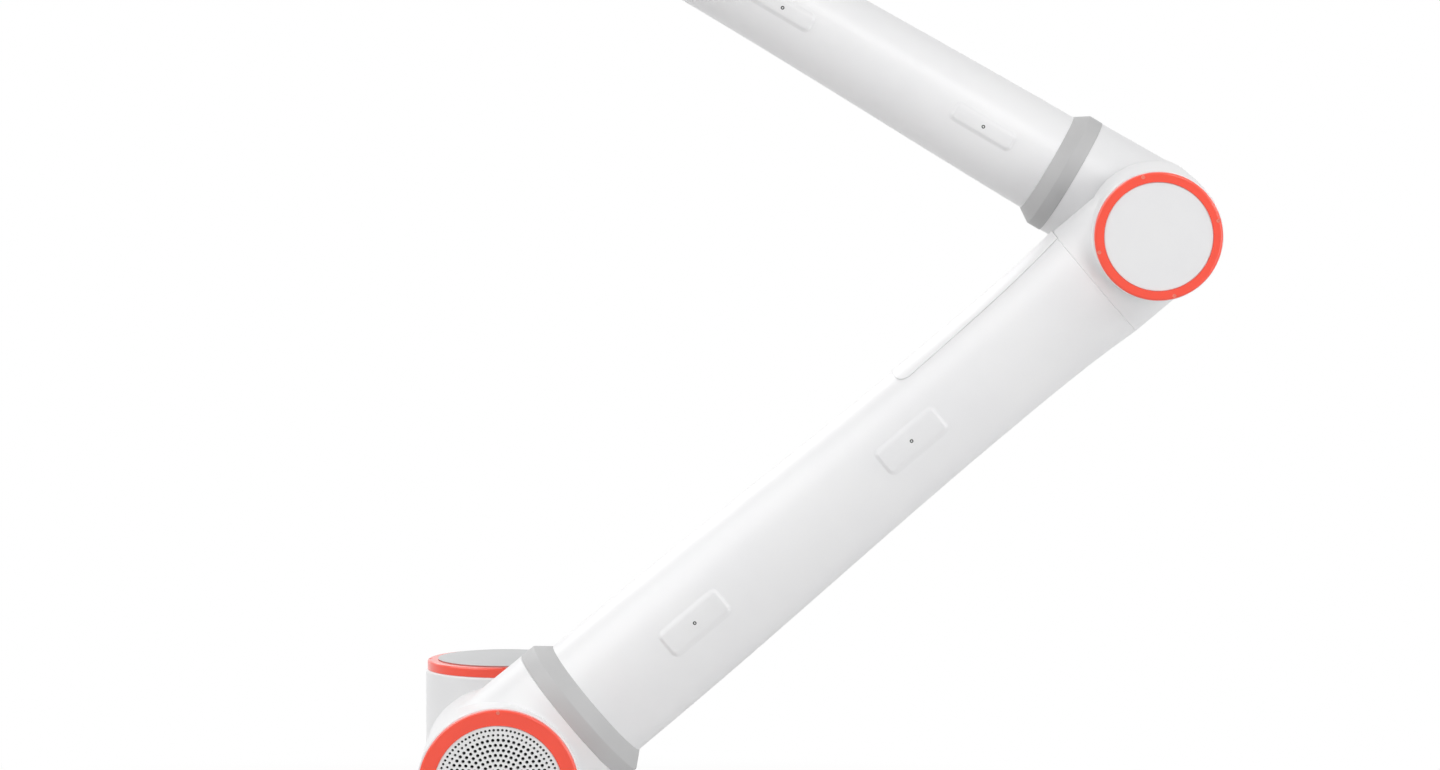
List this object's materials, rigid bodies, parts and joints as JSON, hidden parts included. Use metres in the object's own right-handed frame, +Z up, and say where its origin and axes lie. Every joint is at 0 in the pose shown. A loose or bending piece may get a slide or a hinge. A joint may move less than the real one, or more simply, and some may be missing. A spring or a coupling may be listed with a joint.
{
  "type": "collaborative robot arm",
  "caption": "Long-reach serial robot arm with tapering white tubes, T-shaped joint housings, grey collars, coloured cap rings, strain-wave drives and a round tool flange.",
  "frame": {"origin": "centre of the base mounting face, on the axis of the first joint", "axes": "+Z up along the first joint axis, +X the side to which the upper arm leans, -Y the side of the round grille and the upper arm"},
  "size_m": [0.8627, 0.372, 1.2338],
  "materials": {
    "white_casting": "satin white paint",
    "white_tube": "gloss white paint",
    "white_cover": "satin moulded",
    "white_cap": "satin moulded",
    "grey_cap": "satin moulded",
    "white_grille": "perforated and painted",
    "filter_cloth": "open filter cloth",
    "grey_collar": "satin moulded",
    "coral_ring": "satin moulded",
    "steel_screw": "zinc plated",
    "dark_socket": "moulded",
    "bare_aluminium": "machined, clear anodised",
    "stator_core": "laminated core with potted winding",
    "drive_steel": "ground"
  },
  "bodies": {
    "base": {"base_casting": "white_casting", "base_cable_socket": "dark_socket", "joint_1_gear_cup": "drive_steel"},
    "shoulder": {"shoulder_casting": "white_casting", "shoulder_cap": "grey_cap", "shoulder_cap_ring": "coral_ring", "shoulder_screws": "steel_screw", "joint_1_stator": "stator_core", "joint_1_gear_ring": "drive_steel", "joint_2_gear_cup": "drive_steel"},
    "upper_arm": {"upper_arm_shoulder_housing": "white_casting", "shoulder_grille": "white_grille", "grille_filter": "filter_cloth", "shoulder_grille_ring": "coral_ring", "upper_arm_collar": "grey_collar", "upper_arm_tube": "white_tube", "upper_arm_access_covers": "white_cover", "upper_arm_cable_cover": "white_cover", "elbow_housing": "white_casting", "elbow_cap": "white_cap", "elbow_cap_ring": "coral_ring", "upper_arm_screws": "steel_screw", "joint_2_stator": "stator_core", "joint_2_gear_ring": "drive_steel", "joint_3_stator": "stator_core", "joint_3_gear_ring": "drive_steel"},
    "forearm": {"forearm_root_casting": "white_casting", "forearm_collar": "grey_collar", "forearm_tube": "white_tube", "forearm_access_covers": "white_cover", "wrist_1_housing": "white_casting", "wrist_1_cap": "white_cap", "wrist_1_cap_ring": "coral_ring", "forearm_screws": "steel_screw", "joint_3_gear_cup": "drive_steel", "joint_4_stator": "stator_core", "joint_4_gear_ring": "drive_steel"},
    "wrist_2": {"wrist_2_housing": "white_casting", "wrist_2_cap": "white_cap", "wrist_2_cap_ring": "coral_ring", "wrist_2_screws": "steel_screw", "joint_4_gear_cup": "drive_steel", "joint_5_stator": "stator_core", "joint_5_gear_ring": "drive_steel"},
    "wrist_3": {"wrist_3_housing": "white_casting", "wrist_3_cap": "white_cap", "wrist_3_cap_ring": "coral_ring", "wrist_3_screws": "steel_screw", "joint_5_gear_cup": "drive_steel", "joint_6_stator": "stator_core", "joint_6_gear_ring": "drive_steel"},
    "tool": {"tool_flange": "bare_aluminium", "tool_socket": "dark_socket", "joint_6_gear_cup": "drive_steel"},
    "rotor_1": {"joint_1_rotor": "drive_steel"},
    "rotor_2": {"joint_2_rotor": "drive_steel"},
    "rotor_3": {"joint_3_rotor": "drive_steel"},
    "rotor_4": {"joint_4_rotor": "drive_steel"},
    "rotor_5": {"joint_5_rotor": "drive_steel"},
    "rotor_6": {"joint_6_rotor": "drive_steel"}
  },
  "joints": [
    {"name": "base_turn", "type": "hinge", "parent": "base", "child": "shoulder", "pos_m": [0, 0, 0.24], "axis": [0, 0, 1], "range_deg": [-360, 360]},
    {"name": "shoulder_lift", "type": "hinge", "parent": "shoulder", "child": "upper_arm", "pos_m": [0, -0.172, 0.24], "axis": [0, -1, 0], "range_deg": [-360, 360]},
    {"name": "elbow_bend", "type": "hinge", "parent": "upper_arm", "child": "forearm", "pos_m": [0.65936, -0.172, 0.79524], "axis": [0, -1, 0], "range_deg": [-269.3, 50.7]},
    {"name": "wrist_1_turn", "type": "hinge", "parent": "forearm", "child": "wrist_2", "pos_m": [0.03274, -0.041, 1.16582], "axis": [0, 1, 0], "range_deg": [-360, 360]},
    {"name": "wrist_2_turn", "type": "hinge", "parent": "wrist_2", "child": "wrist_3", "pos_m": [0.03274, -0.159, 1.16582], "axis": [1, 0, 0], "range_deg": [-360, 360]},
    {"name": "wrist_3_turn", "type": "hinge", "parent": "wrist_3", "child": "tool", "pos_m": [-0.08526, -0.159, 1.16582], "axis": [0, 0, 1], "range_deg": [-360, 360]},
    {"name": "rotor_1_spin", "type": "hinge", "parent": "shoulder", "child": "rotor_1", "pos_m": [0, 0, 0.24], "axis": [0, 0, 1], "range_deg": [-36000, 36000]},
    {"name": "rotor_2_spin", "type": "hinge", "parent": "upper_arm", "child": "rotor_2", "pos_m": [0, -0.172, 0.24], "axis": [0, -1, 0], "range_deg": [-36000, 36000]},
    {"name": "rotor_3_spin", "type": "hinge", "parent": "upper_arm", "child": "rotor_3", "pos_m": [0.65936, -0.172, 0.79524], "axis": [0, -1, 0], "range_deg": [-5070, 26930]},
    {"name": "rotor_4_spin", "type": "hinge", "parent": "forearm", "child": "rotor_4", "pos_m": [0.03274, -0.041, 1.16582], "axis": [0, 1, 0], "range_deg": [-36000, 36000]},
    {"name": "rotor_5_spin", "type": "hinge", "parent": "wrist_2", "child": "rotor_5", "pos_m": [0.03274, -0.159, 1.16582], "axis": [1, 0, 0], "range_deg": [-36000, 36000]},
    {"name": "rotor_6_spin", "type": "hinge", "parent": "wrist_3", "child": "rotor_6", "pos_m": [-0.08526, -0.159, 1.16582], "axis": [0, 0, 1], "range_deg": [-36000, 36000]}
  ],
  "couplings": [
    {"joint": "base_turn", "follows": "rotor_1_spin", "ratio": 0.01},
    {"joint": "shoulder_lift", "follows": "rotor_2_spin", "ratio": 0.01},
    {"joint": "elbow_bend", "follows": "rotor_3_spin", "ratio": -0.01},
    {"joint": "wrist_1_turn", "follows": "rotor_4_spin", "ratio": -0.01},
    {"joint": "wrist_2_turn", "follows": "rotor_5_spin", "ratio": -0.01},
    {"joint": "wrist_3_turn", "follows": "rotor_6_spin", "ratio": -0.01}
  ]
}
